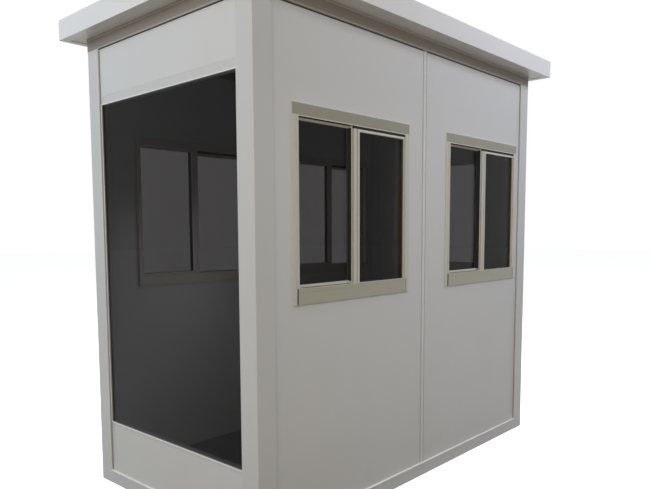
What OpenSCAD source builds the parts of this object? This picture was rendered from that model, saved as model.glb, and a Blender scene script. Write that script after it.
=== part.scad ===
// Operator booth: a small cabin of sandwich panels held in folded metal profiles.
// Millimetres. +Z up, origin on the ground under the middle of the body.
// The end with the tall window faces -X, the end with the door faces +X,
// and the two long sides, each with two sliding windows, face -Y and +Y.

/* [Body] */
// Length of the body over the corner posts
body_l = 2400; // [2320:10:3200]
// Width of the body over the corner posts
body_w = 1250; // [1180:10:1800]
// Height from the ground to the top of the walls
wall_h = 2300; // [2200:10:2600]
// Thickness of the walls over their metal profiles
wall_t = 50; // [46:1:80]
// Thickness of the sheet in the posts, channels, strips and fascias
sheet_t = 2; // [1:0.5:3]
// Width of a corner post on each face
post_w = 100; // [90:1:120]
// Depth of the panels' outer skin behind the faces of the posts and channels
panel_in = 9; // [3:1:10]

/* [Channels] */
// Height of the base channels
base_h = 70; // [60:1:90]
// Height of the top channels
top_h = 60; // [50:1:90]
// Width of the joint strip between two side panels
strip_w = 33; // [24:1:50]
// Height of the floor's upper face above the ground
floor_top = 55; // [40:1:60]

/* [Roof] */
// Thickness of the roof over its edge trim
roof_t = 100; // [80:1:150]
// Distance the roof reaches past the walls
eave = 100; // [70:1:200]
// Width of the lips folded over and under the roof panel
roof_lip = 40; // [20:1:60]

/* [Tall window] */
// Height of the ledge of the tall window above the ground
ledge_z = 333; // [250:1:600]
// Height of the head of the tall window and of the doorway above the ground
head_z = 1962; // [1850:1:2050]
// Height of the trim over the tall window and over the door
head_trim = 43; // [30:1:60]
// Height of the sill trim under the tall window
sill_trim = 20; // [14:1:40]
// Width of the trim between a corner post and the tall window
side_trim = 7; // [4:1:20]
// Depth of the tall window's glass behind the face of the posts
tall_glass_in = 15; // [8:1:24]
// Thickness of the tall window's glass
tall_glass_t = 6; // [4:1:10]

/* [Sliding windows] */
// Width of a sliding window over its frame
win_w = 845; // [700:5:900]
// Height of a sliding window over its frame
win_h = 842; // [700:5:900]
// Height of the underside of the sliding windows above the ground
win_z = 1010; // [900:5:1100]
// Distance of each sliding window's middle past the middle of its half wall, towards the door
win_shift = 35; // [-60:1:60]
// Visible width of a window frame's jambs
jamb_w = 38; // [34:1:60]
// Visible height of a window frame's head
head_h = 56; // [34:1:80]
// Visible height of a window frame's sill
sill_h = 72; // [40:1:90]
// Distance the window frame stands proud of the panel outside
frame_out = 6; // [2:1:12]
// Distance the window frame stands proud of the wall inside
frame_in = 20; // [6:1:40]
// Distance the sill stands proud of the window frame
sill_out = 4; // [2:1:12]
// Distance from the frame's side to the end of the sill
sill_inset = 29; // [16:1:32]
// Overlap of the window frame on the panel round its hole
frame_lap = 15; // [8:1:18]
// Thickness of the frame's lip in front of the outer sash
lip_t = 1.8; // [1:0.1:2.4]
// Height of the inner track above the outer one
track_step = 12; // [6:1:14]

/* [Sashes] */
// Thickness of a sash
sash_t = 18; // [14:1:20]
// Depth that a sash reaches into the frame's channels
sash_in = 16; // [10:1:17]
// Height of a sash's rails that shows past the frame
rail_show = 10; // [10:1:24]
// Width of a sash's outer stile that shows past the frame
stile_show = 4; // [2:1:24]
// Width of a sash's meeting stile
meet_w = 40; // [36:1:60]
// Overlap of the two meeting stiles
meet_lap = 35; // [16:1:36]
// Thickness of the sliding windows' glass
pane_t = 5; // [4:1:8]
// Depth of the glass behind a sash's front
pane_in = 10; // [4:1:10]
// Depth that glass reaches into its groove
glass_in = 8; // [5:1:9]

/* [Door] */
// Width of the door frame
door_w = 800; // [740:5:860]
// Visible width of the door frame's jambs
door_jamb = 40; // [30:1:50]
// Height of the threshold above the ground
threshold_z = 90; // [80:1:110]
// Thickness of the door leaf
leaf_t = 38; // [32:1:40]
// Running gap round the door leaf
leaf_gap = 3; // [2:0.5:5]
// Width of the glass seen in the door
door_glass_w = 560; // [400:5:600]
// Height of the lower edge of the glass in the door
door_glass_z = 1096; // [1000:1:1300]
// Height of the glass seen in the door
door_glass_h = 676; // [500:1:720]
// Height of the door handle above the ground
handle_z = 1000; // [960:1:1040]
// Length of the door handle's lever
lever_l = 120; // [90:1:140]
// Height of the door handle's plate
plate_h = 200; // [160:1:220]
// Number of door hinges
hinge_count = 3; // [2:1:4]

/* [Hidden] */

// Colours
white_skin = [0.80, 0.80, 0.79];
grey_trim = [0.74, 0.74, 0.73];
taupe = [0.47, 0.45, 0.43];
champagne = [0.56, 0.55, 0.48];
pale_sash = [0.72, 0.71, 0.66];
dark_glass = [0.10, 0.11, 0.12, 0.8];
dark_floor = [0.10, 0.10, 0.10];
hardware = [0.60, 0.60, 0.62];

// Clearance of a panel or pane in the profile that holds it
seat_gap = 0.2;
// Allowance by which a cutting shape passes the surface that it cuts
cut = 1;
half_l = body_l / 2;
half_w = body_w / 2;
roof_l = body_l + 2 * eave;
roof_w = body_w + 2 * eave;
roof_top = wall_h + roof_t;
// Thickness of the folded faces over the panels, and distance from the inner
// face of a wall to its panels' skin and from its outer face to a post's pocket
face_t = panel_in - seat_gap;
skin_in = sheet_t + seat_gap;
pocket_in = wall_t + seat_gap;
panel_top = wall_h - sheet_t;
post_top = wall_h - top_h;
header_z = head_z + head_trim;
kick_top = ledge_z - sill_trim;
tall_half_w = half_w - post_w - side_trim;

// Sliding window, in its own frame: x along the wall, y inwards from the panels' skin, z up
clear_half = win_w / 2 - jamb_w;
clear_top = win_h - head_h;
hole_half = win_w / 2 - frame_lap;
hole_top = win_h - frame_lap;
frame_end = wall_t - panel_in + frame_in;
// The two tracks, one behind the other, the inner one higher
track_gap = 2;
lip_y = -frame_out + lip_t;
outer_y = lip_y + seat_gap;
inner_y = outer_y + sash_t + track_gap;
channel_end = inner_y + sash_t + track_gap;
outer_low = sill_h - sash_in - track_step;
inner_low = sill_h - sash_in;
sash_w = clear_half + sash_in + meet_lap / 2;
sash_height = clear_top + sash_in - inner_low;
rail_h = sash_in + rail_show;
stile_w = sash_in + stile_show;

// Door
door_half = door_w / 2;
door_clear = door_half - door_jamb;
leaf_half = door_clear - leaf_gap;
leaf_low = threshold_z + leaf_gap;
leaf_high = head_z - leaf_gap;
door_pane_t = 6;
plate_w = 36;
plate_t = 6;
// Part of the handle's plate that lies below the lever
plate_drop = 120;
lever_t = 18;
lever_out = 46;
spindle_d = 12;
handle_y = leaf_half - plate_w;
hinge_h = 100;
hinge_d = 16;
hinge_plate_w = 30;
hinge_plate_t = 2;
hinge_end = 180;

// A box from its lowest to its highest corner
module block(lo, hi) {
    translate(lo) cube(hi - lo);
}

// ---- Channels, posts and strips ----

// Turns a piece drawn along the wall's face into place on one of the four sides
module on_side(side) {
    if (side == "right") translate([0, -half_w, 0]) children();
    if (side == "left") mirror([0, 1, 0]) translate([0, -half_w, 0]) children();
    if (side == "front") translate([-half_l, 0, 0]) rotate(-90) children();
    if (side == "back") translate([half_l, 0, 0]) rotate(90) children();
}

// Half of the length between the posts on a side
function run(side) = (side == "right" || side == "left") ? half_l - post_w : half_w - post_w;

// A channel that is open upwards, its outer leg folded back over the panel
module base_channel(side) {
    x = run(side);
    color(grey_trim)
        on_side(side)
            difference() {
                block([-x, 0, 0], [x, wall_t, base_h]);
                block([-x - cut, face_t, sheet_t], [x + cut, wall_t - sheet_t, base_h + cut]);
            }
}

// The part of a ring with half sizes x and y that lies on one side of its mitres
module mitred(side, x, y) {
    x_flip = side == "back" ? 1 : 0;
    y_flip = side == "left" ? 1 : 0;
    along = side == "right" || side == "left";
    wedge = along ? [[-x, -y], [x, -y], [x - y, 0], [-x + y, 0]] : [[-x, -y], [-x, y], [-x + y, 0]];
    intersection() {
        children();
        mirror([x_flip, 0, 0])
            mirror([0, y_flip, 0])
                translate([0, 0, -cut])
                    linear_extrude(roof_top + 2 * cut)
                        polygon(wedge);
    }
}

// The box whose faces lie the same distance inside the walls' outer faces
module inset_block(inset, z0, z1) {
    block([-half_l + inset, -half_w + inset, z0], [half_l - inset, half_w - inset, z1]);
}

// The ring over the panels and posts, open downwards
module top_ring() {
    difference() {
        inset_block(0, post_top, wall_h);
        difference() {
            inset_block(face_t, post_top - cut, panel_top);
            inset_block(wall_t - sheet_t, post_top - cut, panel_top);
        }
        inset_block(wall_t, post_top - cut, wall_h + cut);
    }
}

module top_channel(side) {
    color(taupe) mitred(side, half_l, half_w) top_ring();
}

// An L-shaped post whose legs are sleeves for the panels of both walls
module corner_post(end, side) {
    x_flip = end == "back" ? 1 : 0;
    y_flip = side == "left" ? 1 : 0;
    color(grey_trim)
        mirror([x_flip, 0, 0])
            mirror([0, y_flip, 0])
                translate([-half_l, -half_w, 0])
                    difference() {
                        linear_extrude(post_top)
                            polygon([
                                [0, 0], [post_w, 0], [post_w, wall_t],
                                [wall_t, wall_t], [wall_t, post_w], [0, post_w]
                            ]);
                        block([wall_t, face_t, -cut], [post_w + cut, wall_t - sheet_t, wall_h + cut]);
                        block([face_t, wall_t, -cut], [wall_t - sheet_t, post_w + cut, wall_h + cut]);
                    }
}

// An H-shaped strip that holds the edges of two side panels
module joint_strip(side) {
    color(grey_trim)
        on_side(side)
            translate([0, 0, base_h])
                linear_extrude(post_top - base_h)
                    difference() {
                        translate([-strip_w / 2, face_t - sheet_t])
                            square([strip_w, wall_t - face_t + sheet_t]);
                        for (x = [sheet_t / 2, -sheet_t / 2 - strip_w])
                            translate([x, face_t]) square([strip_w, wall_t - sheet_t - face_t]);
                    }
}

// ---- Floor and walls ----

module floor_panel() {
    color(dark_floor)
        block([-half_l + wall_t, -half_w + wall_t, 0], [half_l - wall_t, half_w - wall_t, floor_top]);
}

// A flat panel in a wall, from x0 to x1 along the wall and from z0 to z1
module wall_panel(side, x0, x1, z0, z1) {
    color(white_skin)
        on_side(side)
            block([x0, panel_in, z0], [x1, wall_t - skin_in, z1]);
}

module kick_panel() {
    wall_panel("front", -half_w + pocket_in, half_w - pocket_in, sheet_t, kick_top);
}

module header_panel() {
    wall_panel("front", -half_w + pocket_in, half_w - pocket_in, header_z, panel_top);
}

module back_panel_over_door() {
    wall_panel("back", -half_w + pocket_in, half_w - pocket_in, header_z, panel_top);
}

module back_panel_right() {
    wall_panel("back", -half_w + pocket_in, -door_half, sheet_t, header_z);
}

module back_panel_left() {
    wall_panel("back", door_half, half_w - pocket_in, sheet_t, header_z);
}

// A side panel with the hole for its sliding window
module side_panel(side, end) {
    x0 = end == "front" ? -half_l + pocket_in : sheet_t / 2;
    x1 = end == "front" ? -sheet_t / 2 : half_l - pocket_in;
    difference() {
        wall_panel(side, x0, x1, sheet_t, panel_top);
        at_window(side, end)
            block([-hole_half, -cut, frame_lap], [hole_half, wall_t + cut, hole_top]);
    }
}

// ---- Tall window ----

module tall_window_frame() {
    color(grey_trim)
        on_side("front")
            difference() {
                block([-half_w + pocket_in, panel_in, kick_top],
                      [half_w - pocket_in, wall_t - skin_in, header_z]);
                block([-tall_half_w, -cut, ledge_z], [tall_half_w, wall_t + cut, head_z]);
                block([-tall_half_w - glass_in, tall_glass_in - seat_gap, ledge_z - glass_in],
                      [tall_half_w + glass_in, tall_glass_in + tall_glass_t + seat_gap, head_z + glass_in]);
            }
}

module tall_window_glass() {
    bite = glass_in - seat_gap;
    color(dark_glass)
        on_side("front")
            block([-tall_half_w - bite, tall_glass_in, ledge_z - bite],
                  [tall_half_w + bite, tall_glass_in + tall_glass_t, head_z + bite]);
}

// ---- Sliding windows ----

// Places a window drawn in its own frame into its wall
module at_window(side, end) {
    x = win_shift + (end == "front" ? -half_l / 2 : half_l / 2);
    on_side(side) translate([x, panel_in, win_z]) children();
}

module window_frame(side, end) {
    body_half = hole_half - seat_gap;
    color(champagne)
        at_window(side, end)
            difference() {
                union() {
                    // Flange on the outer skin, sill, and the body through the wall
                    block([-win_w / 2, -frame_out, 0], [win_w / 2, 0, win_h]);
                    block([-win_w / 2 + sill_inset, -frame_out - sill_out, 0],
                          [win_w / 2 - sill_inset, 0, sill_h]);
                    block([-body_half, 0, frame_lap + seat_gap],
                          [body_half, frame_end, hole_top - seat_gap]);
                }
                block([-clear_half, -frame_out - sill_out - cut, sill_h],
                      [clear_half, frame_end + cut, clear_top]);
                // The channels that the sashes run in
                block([-clear_half - sash_in, lip_y, outer_low],
                      [clear_half + sash_in, inner_y - track_gap / 2, clear_top + sash_in]);
                block([-clear_half - sash_in, lip_y, inner_low],
                      [clear_half + sash_in, channel_end, clear_top + sash_in]);
            }
}

// One sash from x0 to x1 that stands at z0, its front face at y
module sash(x0, x1, y, z0, left_w, right_w) {
    z1 = z0 + sash_height;
    pane_y = y + pane_in;
    difference() {
        block([x0, y, z0], [x1, y + sash_t, z1]);
        block([x0 + left_w, y - cut, z0 + rail_h], [x1 - right_w, y + sash_t + cut, z1 - rail_h]);
        block([x0 + left_w - glass_in, pane_y - seat_gap, z0 + rail_h - glass_in],
              [x1 - right_w + glass_in, pane_y + pane_t + seat_gap, z1 - rail_h + glass_in]);
    }
}

// The pane in a sash with the same arguments
module pane(x0, x1, y, z0, left_w, right_w) {
    bite = glass_in - seat_gap;
    pane_y = y + pane_in;
    block([x0 + left_w - bite, pane_y, z0 + rail_h - bite],
          [x1 - right_w + bite, pane_y + pane_t, z0 + sash_height - rail_h + bite]);
}

// The inner sash stands towards the front of the booth, the outer one towards its back
module sashes(side, end) {
    edge = clear_half + sash_in - seat_gap;
    color(pale_sash)
        at_window(side, end) {
            sash(-edge, -edge + sash_w, inner_y, inner_low, stile_w, meet_w);
            sash(edge - sash_w, edge, outer_y, outer_low, meet_w, stile_w);
        }
}

module window_glass(side) {
    edge = clear_half + sash_in - seat_gap;
    color(dark_glass)
        for (end = ["front", "back"])
            at_window(side, end) {
                pane(-edge, -edge + sash_w, inner_y, inner_low, stile_w, meet_w);
                pane(edge - sash_w, edge, outer_y, outer_low, meet_w, stile_w);
            }
}

// ---- Door, in the middle of the back end ----

module door_frame() {
    color(grey_trim)
        on_side("back")
            difference() {
                block([-door_half, panel_in, sheet_t], [door_half, wall_t - skin_in, header_z]);
                block([-door_clear, -cut, threshold_z], [door_clear, wall_t + cut, head_z]);
            }
}

// The pane's groove is cut in the middle of the leaf
module door_leaf() {
    pane_y = panel_in + (leaf_t - door_pane_t) / 2;
    color(white_skin)
        on_side("back")
            difference() {
                block([-leaf_half, panel_in, leaf_low], [leaf_half, panel_in + leaf_t, leaf_high]);
                block([-door_glass_w / 2, -cut, door_glass_z],
                      [door_glass_w / 2, wall_t + cut, door_glass_z + door_glass_h]);
                block([-door_glass_w / 2 - glass_in, pane_y - seat_gap, door_glass_z - glass_in],
                      [door_glass_w / 2 + glass_in, pane_y + door_pane_t + seat_gap,
                       door_glass_z + door_glass_h + glass_in]);
                translate([handle_y, -cut, handle_z])
                    rotate([-90, 0, 0])
                        cylinder(d = spindle_d + 2 * seat_gap, h = wall_t + 2 * cut, $fn = 48);
            }
}

module door_glass() {
    bite = glass_in - seat_gap;
    pane_y = panel_in + (leaf_t - door_pane_t) / 2;
    color(dark_glass)
        on_side("back")
            block([-door_glass_w / 2 - bite, pane_y, door_glass_z - bite],
                  [door_glass_w / 2 + bite, pane_y + door_pane_t, door_glass_z + door_glass_h + bite]);
}

// The plate, neck and lever on one face of the leaf, drawn outwards from y = 0
module handle_half() {
    block([-plate_w / 2, -plate_t, -plate_drop], [plate_w / 2, 0, plate_h - plate_drop]);
    rotate([90, 0, 0]) cylinder(d = lever_t, h = lever_out, $fn = 48);
    translate([lever_t / 2, -lever_out, 0])
        rotate([0, -90, 0])
            cylinder(d = lever_t, h = lever_l, $fn = 48);
}

module door_handle() {
    color(hardware)
        on_side("back")
            translate([handle_y, 0, handle_z]) {
                translate([0, panel_in, 0]) handle_half();
                translate([0, panel_in + leaf_t, 0]) mirror([0, 1, 0]) handle_half();
                translate([0, panel_in, 0])
                    rotate([-90, 0, 0]) cylinder(d = spindle_d, h = leaf_t, $fn = 48);
            }
}

// Knuckles on the outer face, over the gap between the jamb and the leaf
module door_hinges() {
    pitch = (leaf_high - leaf_low - 2 * hinge_end) / (hinge_count - 1);
    pin_y = panel_in - hinge_d / 2;
    color(hardware)
        on_side("back")
            for (i = [0 : hinge_count - 1])
                translate([-leaf_half - leaf_gap / 2, 0, leaf_low + hinge_end + i * pitch - hinge_h / 2]) {
                    block([-hinge_plate_w, panel_in - hinge_plate_t, 0], [hinge_plate_w, panel_in, hinge_h]);
                    translate([0, pin_y, 0]) cylinder(d = hinge_d, h = hinge_h, $fn = 48);
                }
}

// ---- Roof ----

module roof_panel() {
    x = roof_l / 2 - skin_in;
    y = roof_w / 2 - skin_in;
    color(white_skin) block([-x, -y, wall_h], [x, y, roof_top - sheet_t]);
}

// The folded trim round the roof, cut at the mitres into four lengths
module roof_trim() {
    x = roof_l / 2;
    y = roof_w / 2;
    difference() {
        block([-x, -y, wall_h - sheet_t], [x, y, roof_top]);
        block([-x + sheet_t, -y + sheet_t, wall_h], [x - sheet_t, y - sheet_t, roof_top - sheet_t]);
        block([-x + roof_lip, -y + roof_lip, wall_h - sheet_t - cut],
              [x - roof_lip, y - roof_lip, roof_top + cut]);
    }
}

module fascia(side) {
    color(grey_trim) mitred(side, roof_l / 2, roof_w / 2) roof_trim();
}

floor_panel();
base_channel("front");  // base_channel_front
base_channel("back");  // base_channel_back
base_channel("right");  // base_channel_right
base_channel("left");  // base_channel_left
corner_post("front", "right");  // corner_post_front_right
corner_post("front", "left");  // corner_post_front_left
corner_post("back", "right");  // corner_post_back_right
corner_post("back", "left");  // corner_post_back_left
kick_panel();
header_panel();
tall_window_frame();
tall_window_glass();
side_panel("right", "front");  // side_panel_right_front
side_panel("right", "back");  // side_panel_right_back
side_panel("left", "front");  // side_panel_left_front
side_panel("left", "back");  // side_panel_left_back
joint_strip("right");  // joint_strip_right
joint_strip("left");  // joint_strip_left
window_frame("right", "front");  // window_frame_right_front
window_frame("right", "back");  // window_frame_right_back
window_frame("left", "front");  // window_frame_left_front
window_frame("left", "back");  // window_frame_left_back
sashes("right", "front");  // sashes_right_front
sashes("right", "back");  // sashes_right_back
sashes("left", "front");  // sashes_left_front
sashes("left", "back");  // sashes_left_back
window_glass("right");  // window_glass_right
window_glass("left");  // window_glass_left
back_panel_right();
back_panel_left();
back_panel_over_door();
door_frame();
door_leaf();
door_glass();
door_handle();
door_hinges();
top_channel("front");  // top_channel_front
top_channel("back");  // top_channel_back
top_channel("right");  // top_channel_right
top_channel("left");  // top_channel_left
roof_panel();
fascia("front");  // fascia_front
fascia("back");  // fascia_back
fascia("right");  // fascia_right
fascia("left");  // fascia_left
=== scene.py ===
"""Operator booth: a small cabin of white sandwich panels in folded metal profiles.

Metres, in the frame of the CAD model: +Z up, -X the end with the tall window,
+X the end with the door, -Y and +Y the long sides with two sliding windows each.
"""
import math

import bmesh
import bpy
from mathutils import Matrix, Vector


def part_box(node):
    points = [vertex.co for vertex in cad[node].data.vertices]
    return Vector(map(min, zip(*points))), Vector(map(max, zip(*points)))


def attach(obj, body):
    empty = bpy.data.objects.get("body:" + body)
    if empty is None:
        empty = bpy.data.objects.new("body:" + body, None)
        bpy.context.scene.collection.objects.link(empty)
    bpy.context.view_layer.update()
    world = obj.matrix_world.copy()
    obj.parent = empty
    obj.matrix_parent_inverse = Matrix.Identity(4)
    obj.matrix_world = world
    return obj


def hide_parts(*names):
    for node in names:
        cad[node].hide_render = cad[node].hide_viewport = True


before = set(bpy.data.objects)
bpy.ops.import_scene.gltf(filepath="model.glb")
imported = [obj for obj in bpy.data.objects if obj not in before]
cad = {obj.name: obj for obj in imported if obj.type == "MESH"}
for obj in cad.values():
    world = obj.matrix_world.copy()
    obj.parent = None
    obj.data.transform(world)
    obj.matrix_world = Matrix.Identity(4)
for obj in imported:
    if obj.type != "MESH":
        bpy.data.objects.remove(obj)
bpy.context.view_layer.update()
scene = bpy.context.scene

# ---- View --------------------------------------------------------------------
# The booth from a standing person's height, off the corner between the tall
# window and a long side, close enough for the roof's near corner to leave the view.
view_eye = (-2.878, -2.4695, 1.3235)
view_turn = (84.895, 0.447, -46.256)
view_lens = 35.25
view_shift = (0.0402, 0.0667)

view = bpy.data.cameras.new("view")
view.sensor_width = 36
view.lens = view_lens
view.shift_x, view.shift_y = view_shift
camera = bpy.data.objects.new("camera", view)
camera.location = view_eye
camera.rotation_euler = [math.radians(turn) for turn in view_turn]
scene.collection.objects.link(camera)
scene.camera = camera


# ---- Wall panels ---------------------------------------------------------------
# Sandwich panels: two coil-coated steel skins on a foam core, satin white, slotted
# into the posts and channels. The sheet has a fine orange peel and hardly any waves.
def node(tree, kind, inputs=None, **settings):
    """Adds a shader node with its settings, and with values or links for its inputs."""
    made = tree.nodes.new("ShaderNode" + kind)
    for name, value in settings.items():
        setattr(made, name, value)
    for name, value in (inputs or {}).items():
        if isinstance(value, bpy.types.NodeSocket):
            tree.links.new(value, made.inputs[name])
        else:
            made.inputs[name].default_value = value
    return made


def effect(name, inputs, outputs):
    """Starts a shader node group and returns its tree, its input node and its output node."""
    tree = bpy.data.node_groups.new(name, "ShaderNodeTree")
    for label, kind, value in inputs:
        socket = tree.interface.new_socket(label, in_out="INPUT", socket_type="NodeSocket" + kind)
        socket.default_value = value
    for label, kind in outputs:
        tree.interface.new_socket(label, in_out="OUTPUT", socket_type="NodeSocket" + kind)
    return tree, tree.nodes.new("NodeGroupInput"), tree.nodes.new("NodeGroupOutput")


def finish(name, **values):
    """Starts a material and returns it with its node tree and its Principled shader."""
    made = bpy.data.materials.new(name)
    made.use_nodes = True
    shader = made.node_tree.nodes["Principled BSDF"]
    for label, value in values.items():
        shader.inputs[label.replace("_", " ")].default_value = value
    return made, made.node_tree, shader


def maths(tree, operation, *values, use_clamp=False):
    """Adds a sum of one to three values or links and returns its result."""
    return node(tree, "Math", dict(enumerate(values)), operation=operation, use_clamp=use_clamp).outputs[0]


def noise(tree, place, scale, detail, roughness=0.5):
    """Adds a noise over the object's own coordinates and returns its value."""
    inputs = {"Vector": place, "Scale": scale, "Detail": detail, "Roughness": roughness}
    return node(tree, "TexNoise", inputs).outputs["Fac"]


def spread(tree, value, least):
    """Stretches the middle of a noise to run from the least value to 1."""
    inputs = {"Value": value, "From Min": 0.3, "From Max": 0.7, "To Min": least, "To Max": 1.0}
    return node(tree, "MapRange", inputs).outputs[0]


def blend(tree, amount, first, second):
    """Mixes two colours by an amount and returns the mixed colour."""
    made = node(tree, "Mix", data_type="RGBA")
    factor, colour_a, colour_b, result = 0, 6, 7, 2
    for index, link in ((factor, amount), (colour_a, first), (colour_b, second)):
        tree.links.new(link, made.inputs[index])
    return made.outputs[result]


def paint_sheet():
    """Coated sheet: a slight drift of tone, fine grain, and a warm mottled darkening towards the ground, part
    dust and part painted shade low on the walls.
    """
    tree, given, out = effect(
        "coated_sheet",
        [("Color", "Color", (0.8, 0.8, 0.8, 1)), ("Drift", "Float", 0.04),
         ("Dust And Shade Color", "Color", (0.3, 0.27, 0.22, 1)), ("Dust And Shade", "Float", 0.2), ("Dust And Shade Top", "Float", 0.6),
         ("Roughness", "Float", 0.4), ("Peel", "Float", 0.5)],
        [("Color", "Color"), ("Roughness", "Float"), ("Height", "Float")])
    place = node(tree, "TexCoord").outputs["Object"]
    given = given.outputs
    broad = noise(tree, place, 1.7, 3.0, 0.55)
    fine = noise(tree, place, 260.0, 2.0)
    peel = noise(tree, place, 340.0, 1.0)
    waves = noise(tree, place, 3.5, 1.0)
    both = maths(tree, "MULTIPLY_ADD", fine, 0.25, maths(tree, "MULTIPLY", broad, 0.75))
    drift = maths(tree, "MULTIPLY", maths(tree, "SUBTRACT", both, 0.5), given["Drift"])
    shade = maths(tree, "ADD", drift, 1.0)
    toned = node(tree, "VectorMath", {0: given["Color"], "Scale": shade}, operation="SCALE")
    # Darker and warmer towards the ground: painted shade low on the walls, mottled and roughened like dust.
    height = node(tree, "SeparateXYZ", {"Vector": place}).outputs["Z"]
    low = node(tree, "MapRange", {"Value": height, "From Min": 0.0, "From Max": given["Dust And Shade Top"],
                                  "To Min": 1.0, "To Max": 0.0}, interpolation_type="SMOOTHSTEP")
    mottle = spread(tree, noise(tree, place, 5.0, 5.0, 0.65), 0.8)
    dust_and_shade_mask = maths(tree, "MULTIPLY", maths(tree, "MULTIPLY", low.outputs[0], mottle), given["Dust And Shade"])
    tree.links.new(blend(tree, dust_and_shade_mask, toned.outputs[0], given["Dust And Shade Color"]), out.inputs["Color"])
    rough = maths(tree, "MULTIPLY_ADD", dust_and_shade_mask, 0.4, given["Roughness"])
    tree.links.new(maths(tree, "ADD", drift, rough), out.inputs["Roughness"])
    small = maths(tree, "MULTIPLY", peel, given["Peel"])
    tree.links.new(maths(tree, "MULTIPLY_ADD", waves, 6.0, small), out.inputs["Height"])
    return tree


coated_sheet = paint_sheet()


def paint_edge_highlights():
    """Paints a lighter colour along folds and edges as a painted highlight, broken up by a fine noise."""
    tree, given, out = effect(
        "edge_highlights",
        [("Color", "Color", (0.8, 0.8, 0.8, 1)), ("Edge Highlight Color", "Color", (0.9, 0.9, 0.9, 1)),
         ("Width", "Float", 0.003), ("Amount", "Float", 0.5)],
        [("Color", "Color")])
    given = given.outputs
    rounded = node(tree, "Bevel", {"Radius": given["Width"]}, samples=4)
    flat = node(tree, "NewGeometry").outputs["Normal"]
    likeness = node(tree, "VectorMath", {0: rounded.outputs[0], 1: flat}, operation="DOT_PRODUCT")
    turned = maths(tree, "SUBTRACT", 1.0, likeness.outputs["Value"])
    place = node(tree, "TexCoord").outputs["Object"]
    broken = spread(tree, noise(tree, place, 45.0, 3.0), 0.6)
    highlight_mask = maths(tree, "MULTIPLY", turned, 6.0, use_clamp=True)
    highlight_mask = maths(tree, "MULTIPLY", maths(tree, "MULTIPLY", highlight_mask, broken), given["Amount"])
    tree.links.new(blend(tree, highlight_mask, given["Color"], given["Edge Highlight Color"]), out.inputs["Color"])
    return tree


edge_highlights = paint_edge_highlights()


def coated(name, rgb, roughness, drift=0.04, dust_and_shade=0.24, dust_and_shade_top=1.6, peel=0.5, bump=0.00012,
           edge_highlight_rgb=None, edge_highlight_width=0.003, edge_highlight_amount=0.7):
    """Painted or coated metal: the sheet's finish, with a painted highlight along the edges where a colour is
    given for it.
    """
    made, tree, shader = finish(name)
    skin = node(tree, "Group", node_tree=coated_sheet)
    given = {"Color": (*rgb, 1.0), "Drift": drift, "Dust And Shade": dust_and_shade, "Dust And Shade Top": dust_and_shade_top,
             "Roughness": roughness, "Peel": peel}
    for label, value in given.items():
        skin.inputs[label].default_value = value
    relief = node(tree, "Bump", {"Height": skin.outputs["Height"], "Distance": bump, "Strength": 1.0})
    colour = skin.outputs["Color"]
    # A lighter colour along the edges: a painted highlight.
    if edge_highlight_rgb:
        edges = node(tree, "Group", {"Color": colour}, node_tree=edge_highlights)
        edges.inputs["Edge Highlight Color"].default_value = (*edge_highlight_rgb, 1.0)
        edges.inputs["Width"].default_value = edge_highlight_width
        edges.inputs["Amount"].default_value = edge_highlight_amount
        colour = edges.outputs["Color"]
    tree.links.new(colour, shader.inputs["Base Color"])
    tree.links.new(skin.outputs["Roughness"], shader.inputs["Roughness"])
    tree.links.new(relief.outputs[0], shader.inputs["Normal"])
    return made


def dress(names, material):
    """Gives CAD nodes a material."""
    for name in names:
        for slot in cad[name].material_slots:
            slot.material = material


sides = ("right", "left")
ends = ("front", "back")
panel_names = ["kick_panel", "header_panel", "back_panel_right", "back_panel_left", "back_panel_over_door"]
panel_names += [f"side_panel_{side}_{end}" for side in sides for end in ends]
# The walls keep the sheet's darkening towards the ground, up to 1.6 m: painted shade with a little dust.
panel_white = coated("panel_white", (0.62, 0.62, 0.61), 0.42, bump=0.00007)
dress(panel_names, panel_white)


# ---- Corner posts ----------------------------------------------------------------
# Folded sleeves of 2 mm steel, painted white, that wrap a corner and take the
# panels of both walls between their skins. The outer fold has a small radius.
post_fold = 0.004
sheet_edge = 0.0004
same_place = 1e-4



def corners_of(name):
    """The lowest and the highest corner of a CAD node."""
    return [Vector(corner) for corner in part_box(name)]


post_lo, post_hi = corners_of("corner_post_front_right")
half_l, half_w = -post_lo.x, -post_lo.y
post_top = post_hi.z
post_w = post_hi.x - post_lo.x


def worked_copy(name):
    """Copies a CAD solid and merges its triangles into whole faces, ready to be worked on."""
    shape = bmesh.new()
    shape.from_mesh(cad[name].data)
    one_point = 1e-5
    flat = math.radians(1)
    bmesh.ops.remove_doubles(shape, verts=shape.verts, dist=one_point)
    bmesh.ops.dissolve_limit(shape, angle_limit=flat, verts=shape.verts, edges=shape.edges)
    return shape


def round_edges(shape, radius, segments=2, chosen=lambda edge: True):
    """Rounds the chosen ones of a shape's sharp outer edges."""
    least_turn = 0.5
    sharp = [edge for edge in shape.edges
             if len(edge.link_faces) == 2 and edge.calc_face_angle_signed() > least_turn and chosen(edge)]
    bmesh.ops.bevel(shape, geom=sharp, offset=radius, segments=segments, profile=0.5, affect="EDGES",
                    material=-1, clamp_overlap=True)


def keep(shape, name, material, slot, *stands_for):
    """Turns a finished shape into a piece of the booth, which may stand for CAD nodes."""
    bmesh.ops.recalc_face_normals(shape, faces=shape.faces)
    mesh = bpy.data.meshes.new(name)
    shape.to_mesh(mesh)
    shape.free()
    mesh.materials.append(material)
    mesh.shade_smooth()
    sharp_from = math.radians(40)
    mesh.set_sharp_from_angle(angle=sharp_from)
    piece = bpy.data.objects.new(name, mesh)
    scene.collection.objects.link(piece)
    even = piece.modifiers.new("even_shading", "WEIGHTED_NORMAL")
    even.keep_sharp = True
    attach(piece, "root")
    if stands_for:
        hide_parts(*stands_for)
    return piece


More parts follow.
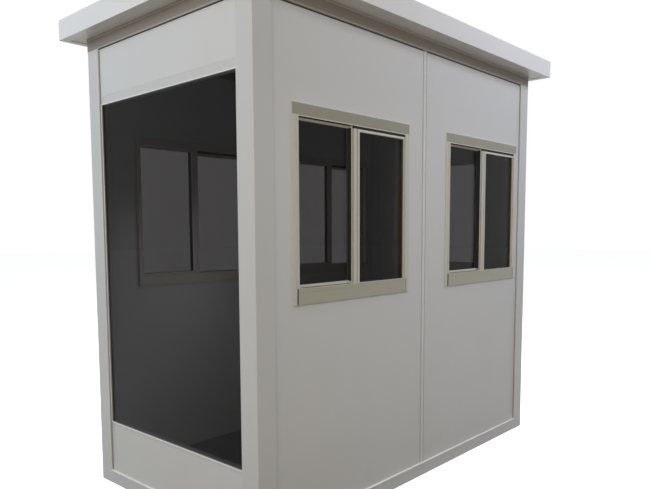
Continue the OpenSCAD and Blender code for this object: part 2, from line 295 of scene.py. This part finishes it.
def run_of(edge):
    """The direction of an edge."""
    return (edge.verts[0].co - edge.verts[1].co).normalized()


def middle_of(edge):
    return (edge.verts[0].co + edge.verts[1].co) / 2


def at_corner(edge):
    """True for the upright edge at a corner of the booth."""
    x, y, _ = (abs(value) for value in middle_of(edge))
    upright = abs(run_of(edge).z) > 0.99
    return upright and abs(x - half_l) < same_place and abs(y - half_w) < same_place


# Its edges get a near-white painted highlight.
trim_white = coated("trim_white", (0.57, 0.57, 0.56), 0.36, edge_highlight_rgb=(0.90, 0.90, 0.89))
for end in ends:
    for side in sides:
        post = worked_copy(f"corner_post_{end}_{side}")
        round_edges(post, post_fold, 5, at_corner)
        round_edges(post, sheet_edge)
        keep(post, f"post_{end}_{side}", trim_white, "white_trim", f"corner_post_{end}_{side}")


# ---- Base channels ----------------------------------------------------------------
# U channels of the same sheet under the panels. The outer leg is folded back over the
# panel's skin as a narrow ledge, whose nose stands a little proud and sheds water; the nose
# is a near-white that paints the highlight of the light on its top.
sheet = 0.002
fold_back = 0.012
nose = 0.003
nose_h = 0.0036
nose_rise = 0.0004
bend = 0.0025
skin_gap = 0.0002

channel_lo, channel_hi = corners_of("base_channel_right")
wall = channel_hi.y - channel_lo.y
base_h = channel_hi.z
panel_in = half_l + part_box("kick_panel")[0][0]
runs = {"right": half_l - post_w, "left": half_l - post_w, "front": half_w - post_w, "back": half_w - post_w}


def on_side(side):
    """Takes a shape drawn along a wall, with y inwards from its face, to one of the four sides."""
    quarter = math.pi / 2
    return {"right": Matrix.Translation((0, -half_w, 0)),
            "left": Matrix.Translation((0, half_w, 0)) @ Matrix.Diagonal((1, -1, 1, 1)),
            "front": Matrix.Translation((-half_l, 0, 0)) @ Matrix.Rotation(-quarter, 4, "Z"),
            "back": Matrix.Translation((half_l, 0, 0)) @ Matrix.Rotation(quarter, 4, "Z")}[side]


def lifted(along, start, pair):
    """Puts a point of a section into space: (y, z) for a run along x, (x, y) for a run along z."""
    return (start, *pair) if along == "x" else (*pair, start)


def drawn_out(shape, grown, reach):
    """Moves the new end of an extrusion to its place."""
    far_end = [part for part in grown["geom"] if isinstance(part, bmesh.types.BMVert)]
    bmesh.ops.translate(shape, verts=far_end, vec=reach)


def bevelled(shape, edges, radius, segments):
    bmesh.ops.bevel(shape, geom=edges, offset=radius, segments=segments, profile=0.5, affect="EDGES",
                    material=-1)


def folded(path, along, start, end, thickness, radius=bend, segments=3):
    """Folds a sheet along a path of corners and gives it its thickness on the path's left."""
    shape = bmesh.new()
    corners = [shape.verts.new(lifted(along, start, pair)) for pair in path]
    line = [shape.edges.new(pair) for pair in zip(corners, corners[1:])]
    reach = Vector(lifted(along, end - start, (0, 0)))
    drawn_out(shape, bmesh.ops.extrude_edge_only(shape, edges=line), reach)
    bends = [edge for edge in shape.edges if len(edge.link_faces) == 2]
    bevelled(shape, bends, radius, segments)
    bmesh.ops.solidify(shape, geom=shape.faces[:], thickness=-thickness)
    return shape


def bar(section, along, start, end, rounding=0.0, segments=2):
    """Extrudes a closed section along a run and rounds its long edges."""
    shape = bmesh.new()
    cap = shape.faces.new([shape.verts.new(lifted(along, start, pair)) for pair in section])
    reach = Vector(lifted(along, end - start, (0, 0)))
    drawn_out(shape, bmesh.ops.extrude_face_region(shape, geom=[cap]), reach)
    bmesh.ops.recalc_face_normals(shape, faces=shape.faces)
    if rounding:
        parallel = 0.99
        long_edges = [edge for edge in shape.edges if abs(run_of(edge).dot(reach.normalized())) > parallel]
        bevelled(shape, long_edges, rounding, segments)
    return shape


def oblong(x, y):
    """The section of a plain bar from its lowest to its highest values."""
    return [(x[0], y[0]), (x[1], y[0]), (x[1], y[1]), (x[0], y[1])]


def joined(*shapes):
    """Puts several shapes into one."""
    whole = shapes[0]
    for shape in shapes[1:]:
        loose = bpy.data.meshes.new("loose")
        shape.to_mesh(loose)
        shape.free()
        whole.from_mesh(loose)
        bpy.data.meshes.remove(loose)
    return whole


def seated(shape, place):
    """Moves a shape to its place."""
    bmesh.ops.transform(shape, matrix=place, verts=shape.verts)
    return shape


# Near-white: a painted highlight on the ledge's lit top.
nose_highlight_white = coated("nose_highlight_white", (0.93, 0.93, 0.92), 0.4, dust_and_shade=0.1, peel=0.3)

for side, run in runs.items():
    back = panel_in - skin_gap
    section = [(back, base_h - fold_back), (back, base_h), (0, base_h), (0, 0), (wall, 0), (wall, base_h)]
    channel = folded(section, "x", -run, run, sheet)
    nose_section = oblong((-nose, back), (base_h - nose_h, base_h + nose_rise))
    ledge_nose = bar(nose_section, "x", -run, run, 0.001)
    keep(seated(channel, on_side(side)), f"base_{side}", trim_white, "white_trim", f"base_channel_{side}")
    keep(seated(ledge_nose, on_side(side)), f"base_nose_{side}", nose_highlight_white, "white_trim")


# ---- Joint strips -------------------------------------------------------------------
# H strips of sheet that hold the edges of the two panels of a long side. Two grooves
# are rolled into the face, which is a brighter white than the trim as a painted highlight.
# Grey soft lips lie along both edges, darkened to paint the shade of the joints, and a web
# joins the face to the same strip inside.
groove_w = 0.003
groove_in = 0.0016
groove_off = 0.0065
lip_w = 0.0026
lip_face = (-0.0006, 0.0004)

# Brighter than the trim: a painted highlight on the strip's face.
strip_highlight_white = coated("strip_highlight_white", (0.72, 0.72, 0.71), 0.38, edge_highlight_rgb=(0.92, 0.92, 0.91))
# Dark grey: painted shade in the joints beside the strip.
lip_shade_grey = coated("lip_shade_grey", (0.20, 0.20, 0.195), 0.5, dust_and_shade=0.3, dust_and_shade_top=2.3)
# Black: real gaskets and caps, and painted shade in gaps.
black_gasket_and_shade = coated("black_gasket_and_shade", (0.025, 0.025, 0.025), 0.6, drift=0.2, dust_and_shade=0.3)

strip_lo, strip_hi = corners_of("joint_strip_right")
strip_half = strip_hi.x
strip_face = strip_lo.y + half_w


def grooved_face():
    """The strip's face from one edge to the other, with its two grooves."""
    near, far = groove_off - groove_w / 2, groove_off + groove_w / 2
    right_half = [(near, 0), (near, groove_in), (far, groove_in), (far, 0), (strip_half, 0)]
    whole = [(-x, y) for x, y in reversed(right_half)] + right_half
    return [(x, y + strip_face) for x, y in whole]


for side in sides:
    rise = ("z", strip_lo.z, strip_hi.z)
    outer = folded(grooved_face(), *rise, sheet, 0.0005, 2)
    web = bar(oblong((-sheet / 2, sheet / 2), (panel_in, wall - sheet)), *rise)
    inner = bar(oblong((-strip_half, strip_half), (wall - sheet, wall)), *rise, sheet_edge)
    strip = seated(joined(outer, web, inner), on_side(side))
    keep(strip, f"strip_{side}", strip_highlight_white, "white_trim", f"joint_strip_{side}")
    lip_y = [strip_face + step for step in lip_face]
    lips = [bar(oblong((x - lip_w / 2, x + lip_w / 2), lip_y), *rise, 0.0002)
            for x in (-strip_half + lip_w, strip_half - lip_w)]
    keep(seated(joined(*lips), on_side(side)), f"strip_lips_{side}", lip_shade_grey, "white_trim")


# ---- Top channels ---------------------------------------------------------------------
# A mitred ring of U channels over the panels and the posts' ends, in a dark taupe that is
# partly their paint and partly painted shade under the eave. Between the posts a bead ends
# their outer leg, in a mid taupe that paints the eave's shade on the long sides, over a black
# strip that paints the shadow gap beneath it and, on the ends, the folded skin edge in a
# near-white that paints its highlight.
bead_h = 0.0045
shadow_gap_h = 0.007
capping_h = 0.003
soffit_bead = 0.005

# Dark taupe: partly the channels' paint, partly painted shade under the eave.
top_brown_and_shade = coated("top_brown_and_shade", (0.25, 0.225, 0.20), 0.42, drift=0.14)
# A mid taupe on all sides, painting the eave's shade on the long sides.
bead_taupe_shaded = coated("bead_taupe_shaded", (0.38, 0.36, 0.34), 0.36)
# Near-white: a painted highlight, on the ends' skin edge and the tall window's bead.
bead_highlight_white = coated("bead_highlight_white", (0.86, 0.86, 0.85), 0.25, drift=0.03)
wall_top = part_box("top_channel_right")[1][2]
for side, run in runs.items():
    channel = worked_copy(f"top_channel_{side}")
    round_edges(channel, 0.0015)
    keep(channel, f"top_{side}", top_brown_and_shade, "top_channel_metal", f"top_channel_{side}")
    bead = bar(oblong((-0.001, panel_in), (post_top - 0.002, post_top + bead_h)), "x", -run, run, 0.001)
    keep(seated(bead, on_side(side)), f"top_bead_{side}", bead_taupe_shaded, "top_channel_metal")
    capping_top = post_top - shadow_gap_h
    if side in ends:
        capping = bar(oblong((panel_in - 0.003, panel_in + 0.0005), (capping_top - capping_h, capping_top)),
                      "x", -run, run, 0.0008)
        keep(seated(capping, on_side(side)), f"top_capping_{side}", bead_highlight_white, "white_trim")
    # A black strip under the bead: painted shade of the gap between the bead and the skin.
    gasket = bar(oblong((panel_in - 0.0015, panel_in + 0.0005), (capping_top, post_top)), "x", -run, run)
    keep(seated(gasket, on_side(side)), f"top_shadow_gap_{side}", black_gasket_and_shade, "white_trim")
    full = run + post_w
    corner = [(0, wall_top - soffit_bead), (-soffit_bead, wall_top), (0, wall_top)]
    sealant = bar([(y, z - sheet) for y, z in corner], "x", -full, full, 0.0008)
    keep(seated(sealant, on_side(side)), f"soffit_seal_{side}", top_brown_and_shade, "top_channel_metal")


# ---- Panel seams in painted shade ---------------------------------------------------------
# A thin black bead where a wall's skins enter the posts at both ends, set into the
# corner between the skin and the post's folded edge: painted shade of the gap there.
shade_seam_w = 0.0017
shade_seam_proud = 0.001
sunk = 0.0005

for side, run in runs.items():
    beads = [bar(oblong(pair, (panel_in - shade_seam_proud, panel_in + sunk)), "z", base_h, post_top, 0.0005)
             for pair in ((-run, -run + shade_seam_w), (run - shade_seam_w, run))]
    keep(seated(joined(*beads), on_side(side)), f"seal_{side}", black_gasket_and_shade, "white_trim")


# ---- Roof ----------------------------------------------------------------------------
# A sandwich panel whose edges are closed by a folded trim on all four sides, mitred
# at the corners. The trim is a cooler white than the walls.
trim_fold = 0.004
trim_nose = 0.0012

# Its edges get a near-white painted highlight.
roof_white = coated("roof_white", (0.72, 0.715, 0.71), 0.36, edge_highlight_rgb=(0.97, 0.97, 0.97), edge_highlight_width=0.004)
roof_sheet = coated("roof_sheet", (0.78, 0.755, 0.73), 0.45, drift=0.10)
dress(["roof_panel"], roof_sheet)
roof_lo, roof_hi = corners_of("fascia_right")


def on_rim(edge):
    """True for a long edge of the roof trim at its outer face."""
    x, y, _ = (abs(value) for value in middle_of(edge))
    level = abs(run_of(edge).z) < 0.01
    outside = abs(x - roof_hi.x) < same_place or abs(y + roof_lo.y) < same_place
    return level and outside and edge.calc_length() > 1.0


def on_top(edge):
    """True for an upper edge of the roof trim at its outer face."""
    return on_rim(edge) and edge.verts[0].co.z > (roof_lo.z + roof_hi.z) / 2


for side in sides + ends:
    fascia = worked_copy(f"fascia_{side}")
    round_edges(fascia, trim_fold, 4, on_top)
    round_edges(fascia, trim_nose, 2, on_rim)
    keep(fascia, f"roof_trim_{side}", roof_white, "roof_trim", f"fascia_{side}")


# ---- Floor ---------------------------------------------------------------------------
# A board with a black rubber sheet on it, between the base channels.
floor_dark = coated("floor_dark", (0.028, 0.027, 0.027), 0.6, dust_and_shade=0.08, peel=0.15, bump=0.00004)
dress(["floor_panel"], floor_dark)


# ---- Frames --------------------------------------------------------------------------
# The tall window's frame is one folded white reveal in the panel's plane, with a thin
# raised bead round the glass in a near-white that paints its highlight. The pane sits on a black gasket.
tall_bead_w = 0.005
tall_bead_out = 0.0022
tall_gasket = 0.0035

pane_lo, pane_hi = corners_of("tall_window_glass")
pane_bite = 0.0078
tall_half = pane_hi.y - pane_bite
ledge = pane_lo.z + pane_bite
head = pane_hi.z - pane_bite
pane_face = pane_lo.x + half_l


def ringed(rings, rounding=0.0, segments=2):
    """Builds a mitred frame from rectangles, each (x0, x1, z0, z1, y), the last joined to the first."""
    shape = bmesh.new()
    loops = [[shape.verts.new(place) for place in ((x0, y, z0), (x1, y, z0), (x1, y, z1), (x0, y, z1))]
             for x0, x1, z0, z1, y in rings]
    for first, second in zip(loops, loops[1:] + loops[:1]):
        for here, there in ((0, 1), (1, 2), (2, 3), (3, 0)):
            shape.faces.new((first[here], first[there], second[there], second[here]))
    bmesh.ops.recalc_face_normals(shape, faces=shape.faces)
    if rounding:
        round_edges(shape, rounding, segments)
    return shape


def around(x0, x1, z0, z1, grow, y):
    """A rectangle that is grown on every side, at the depth y."""
    return (x0 - grow, x1 + grow, z0 - grow, z1 + grow, y)


frame_copy = worked_copy("tall_window_frame")
round_edges(frame_copy, 0.0012)
opening = (-tall_half, tall_half, ledge, head)
bead_face = panel_in - tall_bead_out
bead = ringed([around(*opening, 0, panel_in), around(*opening, 0, bead_face),
               around(*opening, tall_bead_w, bead_face), around(*opening, tall_bead_w, panel_in)], 0.0008)
keep(frame_copy, "tall_frame", trim_white, "white_trim", "tall_window_frame")
keep(seated(bead, on_side("front")), "tall_bead", bead_highlight_white, "white_trim")
gasket = ringed([around(*opening, 0, pane_face), around(*opening, 0, pane_face - tall_gasket),
                 around(*opening, -tall_gasket, pane_face - sunk),
                 around(*opening, -tall_gasket, pane_face)])
keep(seated(gasket, on_side("front")), "tall_gasket", black_gasket_and_shade, "white_trim")


# ---- Sliding window frames -----------------------------------------------------------------
# Mitred extrusions of champagne coated aluminium through the wall: a flat flange on the
# outer skin with a fillet of sealant round it, a raised bead beside each sash, a hollow
# track, a face on the head and a sill that drains, both in darker copies of the champagne
# that paint their shade, with black caps on the sill's ends.
jamb = 0.038
head_bar = 0.056
sill_bar = 0.072
flange_out = 0.006
bead_out = 0.0025
bead_w = 0.0135
lip_t = 0.0018
track = 0.016
sill_end = 0.029
wall_hole = 0.0152
seal_out = 0.003
cap_t = 0.002
cap_proud = 0.0045
sill_proud = 0.004
track_end = 0.036
head_face_t = 0.0006



def anodised(name, rgb, edge_highlight_rgb, drift=0.06):
    """Champagne coated aluminium, with a painted highlight along its edges."""
    return coated(name, rgb, 0.36, drift=drift, edge_highlight_rgb=edge_highlight_rgb, edge_highlight_width=0.002, edge_highlight_amount=0.5)


sealant_white = coated("sealant_white", (0.64, 0.64, 0.63), 0.5, drift=0.1, peel=2.0)
champagne = anodised("champagne", (0.555, 0.543, 0.475), (0.78, 0.77, 0.71), 0.05)
# Darker copies of the champagne: painted shade on the head's face, the sill and the stile's groove.
champagne_head_shade = anodised("champagne_head_shade", (0.285, 0.27, 0.21), (0.62, 0.60, 0.53))
champagne_shade = anodised("champagne_shade", (0.365, 0.35, 0.27), (0.66, 0.64, 0.57))


def window_place(side, end):
    """The width and height of a sliding window, and the matrix that seats it in its wall."""
    low, high = corners_of(f"window_frame_{side}_{end}")
    seat_at = Matrix.Translation(((low.x + high.x) / 2, panel_in, low.z))
    return high.x - low.x, high.z - low.z, on_side(side) @ seat_at


def window_frame(width, height, reveal_end):
    """The flange, the hollow track and the reveal inside, as one mitred ring."""
    half = width / 2
    inner = half - jamb
    low, high = sill_bar, height - head_bar
    hole = half - wall_hole
    clear = (-inner, inner, low, high)
    slot_rect = (-inner - track, inner + track, low - track, high + track)
    through = (-hole, hole, wall_hole, height - wall_hole)
    rings = [(-half, half, 0, height, 0), (-half, half, 0, height, -flange_out),
             (*clear, -flange_out), (*clear, -flange_out + lip_t),
             (*slot_rect, -flange_out + lip_t), (*slot_rect, track_end),
             (*clear, track_end), (*clear, reveal_end), (*through, reveal_end), (*through, 0)]
    return ringed(rings, 0.0009)


def jamb_bead(inner, low, high, hand):
    """The raised bead along a jamb; hand is -1 on the left and 1 on the right."""
    x = [hand * (inner - 0.0002), hand * (inner + bead_w)]
    section = oblong((min(x), max(x)), (-flange_out - bead_out, -flange_out + sunk))
    return bar(section, "z", low, high, 0.0012, 3)


def sill_section():
    """The sill's nose: a drip at the foot, a groove below the top and a small fall to the outside."""
    face = -flange_out - sill_proud
    return [(0, 0.002), (face + 0.002, 0.002), (face, 0.005), (face, 0.048), (face + 0.0015, 0.0485),
            (face + 0.0015, 0.051), (face, 0.0515), (face, sill_bar - 0.002), (0, sill_bar)]


for side in sides:
    for end in ends:
        width, height, place = window_place(side, end)
        half = width / 2
        depth = max(half_w - abs(corner.y) for corner in corners_of(f"window_frame_{side}_{end}")) - panel_in
        jambs = [jamb_bead(half - jamb, sill_bar, height - head_bar, hand) for hand in (-1, 1)]
        body = joined(window_frame(width, height, depth), *jambs)
        keep(seated(body, place), f"frame_{side}_{end}", champagne, "window_frame_metal",
             f"window_frame_{side}_{end}")
        sill = bar(sill_section(), "x", -half + sill_end, half - sill_end, 0.0006)
        head_section = oblong((-flange_out - head_face_t, -flange_out + 0.0004),
                              (height - head_bar + 0.005, height - 0.0035))
        head_face = bar(head_section, "x", -half + 0.003, half - 0.003, 0.0003)
        keep(seated(sill, place), f"sill_{side}_{end}", champagne_shade, "window_frame_metal")
        keep(seated(head_face, place), f"head_{side}_{end}", champagne_head_shade, "window_frame_metal")
        rim = (-half, half, 0, height)
        fillet = ringed([around(*rim, 0, -seal_out), around(*rim, seal_out, 0), around(*rim, -0.001, 0)])
        keep(seated(fillet, place), f"sealant_{side}_{end}", sealant_white, "white_trim")
        cap_y = (-flange_out - cap_proud, -flange_out + 0.001)
        caps = [bar(oblong((x, x + cap_t), cap_y), "z", 0.002, sill_bar - 0.001)
                for x in (-half + sill_end - cap_t, half - sill_end)]
        keep(seated(joined(*caps), place), f"sill_caps_{side}_{end}", black_gasket_and_shade, "window_frame_metal")


# ---- Sashes ----------------------------------------------------------------------------------
# Two sliding sashes in each frame, in a paler copy of the frame's champagne that paints
# light on their shaded rails. The one towards the door runs in the outer, lower track. Black
# brushes fill the tracks and paint the shade in the gaps over and under the rails. The stiles
# meet in the middle, the outer one under a snap-on cover: a plate, a groove in the darker
# champagne that paints its shade, and a raised bead. A black fin beside the inner stile's
# cover paints the shade on the stile's side.
sash_t = 0.018
track_gap = 0.002
track_step = 0.012
rail_show = 0.010
stile_show = 0.004
meet_w = 0.040
meet_lap = 0.035
cover_w = 0.010
brush_w = 0.004
cover_back = 0.006
shade_fin_t = 0.002
brush_in = 0.005
pane_in = 0.010
seat = 0.0002
plate_w = 0.0185
stile_bead_w = 0.009

# Paler than the frame's champagne: painted light on the sashes' shaded rails.
sash_painted_light = coated("sash_painted_light", (0.64, 0.62, 0.55), 0.34, drift=0.05, edge_highlight_rgb=(0.88, 0.87, 0.82),
                   edge_highlight_width=0.0025)
# Black: real glazing seals and pile, and painted shade in the tracks and beside the stiles.
black_seals_and_shade = coated("black_seals_and_shade", (0.02, 0.02, 0.02), 0.8, drift=0.3, dust_and_shade=0.3, dust_and_shade_top=1.2, peel=3.0)


def sash(outer, opening, front):
    """One sash: its outer and its glass rectangle (x0, x1, z0, z1) and the depth of its face."""
    back = front + sash_t
    rings = [(*outer, back), (*outer, front), (*opening, front), around(*opening, -0.0015, front + 0.003),
             around(*opening, -0.0015, back - 0.003), (*opening, back)]
    return ringed(rings, 0.0009)


def seal(opening, front):
    """The black glazing seal at the edge of a pane."""
    near = front + pane_in - 0.0035
    rings = [around(*opening, 0.001, front + pane_in), around(*opening, 0.001, near),
             around(*opening, -0.0045, near + 0.002), around(*opening, -0.0045, front + pane_in)]
    return ringed(rings)


def brushes_and_shade(outer, low, high, front):
    """The recessed black rails over and under a sash, which run in the tracks and paint the shade in their
    gaps.
    """
    y = (front + brush_in, front + sash_t - brush_in)
    return [bar(oblong(y, (z0, z1)), "x", outer[0] + 0.002, outer[1] - 0.002) for z0, z1 in (low, high)]


def stile_bead(x0, x1, low, high, front):
    """A raised rounded bead along the edge of the outer meeting stile."""
    return bar(oblong((x0, x1), (front - 0.0022, front + 0.001)), "z", low, high, 0.0018, 3)


def stile_plate(x0, x1, low, high, front, proud):
    """A flat strip of the outer meeting stile's snap-on cover."""
    return bar(oblong((x0, x1), (front - proud, front + 0.0005)), "z", low, high, 0.0003)


for side in sides:
    for end in ends:
        width, height, place = window_place(side, end)
        reach = width / 2 - jamb + track
        edge = reach - seat
        sash_w = reach + meet_lap / 2
        outer_front = -flange_out + lip_t + seat
        inner_front = outer_front + sash_t + track_gap
        sash_h = height - head_bar + track - (sill_bar - track)
        side_w = track + stile_show
        inner_foot = sill_bar - track
        pieces = []
        seals = []
        for x0, x1, left_w, right_w, front, foot in (
                (-edge, -edge + sash_w, side_w, meet_lap + cover_w, inner_front, inner_foot),
                (edge - sash_w, edge, meet_w, side_w, outer_front, inner_foot - track_step)):
            top = foot + sash_h
            face_low, face_high = foot + track, top - track
            outer = (x0, x1, face_low, face_high)
            opening = (x0 + left_w, x1 - right_w, face_low + rail_show, face_high - rail_show)
            pieces.append(sash(outer, opening, front))
            seals.append(seal(opening, front))
            seals += brushes_and_shade(outer, (foot + 0.001, face_low + 0.001), (face_high - 0.001, top - 0.001), front)
            if front == inner_front:
                behind = outer_front + cover_back
                cover = (-meet_lap / 2 - cover_w, -meet_lap / 2 - brush_w)
                pieces.append(bar(oblong(cover, (behind, front + 0.002)), "z", face_low, face_high, 0.0012))
                pile = (cover[1] - 0.0003, -meet_lap / 2 + 0.0003)
                seals.append(bar(oblong(pile, (behind + 0.003, front + 0.001)), "z", face_low, face_high))
                # A black fin beside the cover: painted shade on the side of the stile.
                shade_fin = (cover[0] - shade_fin_t, cover[0])
                seals.append(bar(oblong(shade_fin, (behind + 0.002, front + pane_in)), "z", *opening[2:]))
            else:
                plate_end, bead_start = x0 + plate_w, x0 + meet_w - stile_bead_w
                pieces.append(stile_bead(bead_start, x0 + meet_w - 0.0005, face_low, face_high, front))
                plate = stile_plate(x0 + 0.0003, plate_end, face_low, face_high, front, 0.0012)
                channel = stile_plate(plate_end, bead_start, face_low, face_high, front, 0.0004)
        keep(seated(joined(*pieces), place), f"sash_{side}_{end}", sash_painted_light, "sash_metal",
             f"sashes_{side}_{end}")
        keep(seated(joined(*seals), place), f"sash_seal_{side}_{end}", black_seals_and_shade, "sash_metal")
        keep(seated(plate, place), f"stile_{side}_{end}", champagne, "sash_metal")
        keep(seated(channel, place), f"stile_channel_{side}_{end}", champagne_shade, "sash_metal")


# ---- Glass --------------------------------------------------------------------------------------
# Grey tinted float glass, 5 to 6 mm thick, in all the windows and in the door.
dark_glass, tree, shader = finish("dark_glass", Transmission_Weight=1.0, Roughness=0.0, IOR=1.10)
shader.inputs["Base Color"].default_value = (0.225, 0.22, 0.223, 1)
dress(["tall_window_glass", "window_glass_right", "window_glass_left", "door_glass"], dark_glass)


# ---- Door ----------------------------------------------------------------------------------------
# A white sandwich leaf in a folded frame, with a tinted pane between two glazing beads. A
# lever handle on a plate and three butt hinges, all of satin grey steel.
door_bead_w = 0.018
door_bead_t = 0.004

hardware = coated("hardware", (0.5, 0.5, 0.5), 0.3)
for node_name, name, material, slot, rounding, segments in (
        ("door_leaf", "leaf", panel_white, "wall_panel_skin", 0.002, 3),
        ("door_frame", "door_surround", trim_white, "white_trim", 0.0015, 2),
        ("door_handle", "handle", hardware, "door_hardware", 0.002, 3),
        ("door_hinges", "hinges", hardware, "door_hardware", 0.0008, 2)):
    shape = worked_copy(node_name)
    round_edges(shape, rounding, segments)
    keep(shape, name, material, slot, node_name)

glass_lo, glass_hi = corners_of("door_glass")
leaf_lo, leaf_hi = corners_of("door_leaf")
opening = around(glass_lo.y, glass_hi.y, glass_lo.z, glass_hi.z, -pane_bite, 0)[:4]
beads = []
for face, out in ((half_l - leaf_hi.x, -door_bead_t), (half_l - leaf_lo.x, door_bead_t)):
    beads.append(ringed([around(*opening, 0, face), around(*opening, 0, face + out),
                         around(*opening, door_bead_w, face + out), around(*opening, door_bead_w, face)],
                        0.0015))
keep(seated(joined(*beads), on_side("back")), "door_bead", trim_white, "white_trim")


# ---- Studio ----------------------------------------------------------------------
# A pale floor and a white backdrop under soft lamps: two off the tall window's end, two
# along the right side, one overhead, one behind, and a small one in the cabin.
floor_reach = 40
floor_glow = 0.835
bounce_rgb = (0.118, 0.099, 0.062)
sky = 0.18


def seen_as_is(tree):
    """1 for rays from the camera, a mirroring face or through glass, which see plain white."""
    ray = node(tree, "LightPath").outputs
    mirrored = maths(tree, "MAXIMUM", ray["Is Camera Ray"], ray["Is Glossy Ray"])
    return maths(tree, "MAXIMUM", mirrored, ray["Is Transmission Ray"])


ground = bmesh.new()
bmesh.ops.create_grid(ground, x_segments=1, y_segments=1, size=floor_reach)
mesh = bpy.data.meshes.new("studio_floor")
ground.to_mesh(mesh)
ground.free()
studio_floor = bpy.data.objects.new("studio_floor", mesh)
scene.collection.objects.link(studio_floor)
floor_look, tree, shader = finish("studio_floor", Roughness=0.9)
shader.inputs["Base Color"].default_value = (0.85, 0.85, 0.85, 1)
shader.inputs["Specular IOR Level"].default_value = 0.0
shader.inputs["Emission Color"].default_value = (1, 1, 1, 1)
shader.inputs["Emission Strength"].default_value = floor_glow
bounce = node(tree, "BsdfDiffuse", {"Color": (*bounce_rgb, 1)})
pick = node(tree, "MixShader", {0: seen_as_is(tree), 1: bounce.outputs[0], 2: shader.outputs[0]})
tree.links.new(pick.outputs[0], tree.nodes["Material Output"].inputs["Surface"])
mesh.materials.append(floor_look)

world = bpy.data.worlds.new("studio")
scene.world = world
world.use_nodes = True
tree = world.node_tree
dim = tree.nodes["Background"]
dim.inputs["Color"].default_value = (0.95, 0.97, 1.0, 1)
dim.inputs["Strength"].default_value = sky
white = node(tree, "Background", {"Color": (1, 1, 1, 1), "Strength": 1.0})
pick = node(tree, "MixShader", {0: seen_as_is(tree), 1: dim.outputs[0], 2: white.outputs[0]})
tree.links.new(pick.outputs[0], tree.nodes["World Output"].inputs["Surface"])


def softbox(name, place, aim, size, power, rgb=(1, 1, 1)):
    """A square lamp at a place, turned towards a point, that lights but isn't seen."""
    lamp = bpy.data.lights.new(name, "AREA")
    lamp.shape = "RECTANGLE"
    lamp.size = lamp.size_y = size
    lamp.energy = power
    lamp.color = rgb
    made = bpy.data.objects.new(name, lamp)
    made.location = place
    made.rotation_euler = (Vector(aim) - Vector(place)).to_track_quat("-Z", "Y").to_euler()
    made.visible_camera = False
    made.visible_glossy = False
    made.visible_transmission = False
    scene.collection.objects.link(made)


softbox("end_high", (-4.6, 1.8, 3.6), (-1.2, 0.3, 2.0), 2.5, 104, (0.70, 0.83, 1.0))
softbox("end_mid", (-4.8, -1.6, 2.2), (-1.2, -0.2, 1.3), 2.0, 60, (1.0, 0.88, 0.70))
softbox("side_mid", (-1.0, -3.7, 1.9), (-0.8, -0.6, 1.4), 1.0, 15, (1.0, 0.92, 0.74))
softbox("side_top", (1.6, -3.2, 4.0), (1.0, -0.6, 2.2), 1.1, 71, (0.80, 0.84, 1.0))
softbox("cabin", (-0.7, -0.1, 1.2), (-0.6, 0.57, 0.2), 0.4, 2.2)
softbox("overhead", (0, 0, 8), (0, 0, 0), 5.0, 350)
softbox("rear", (5.0, 2.2, 3.4), (1.0, 0.4, 1.5), 2.0, 90)

scene.view_settings.view_transform = "Standard"
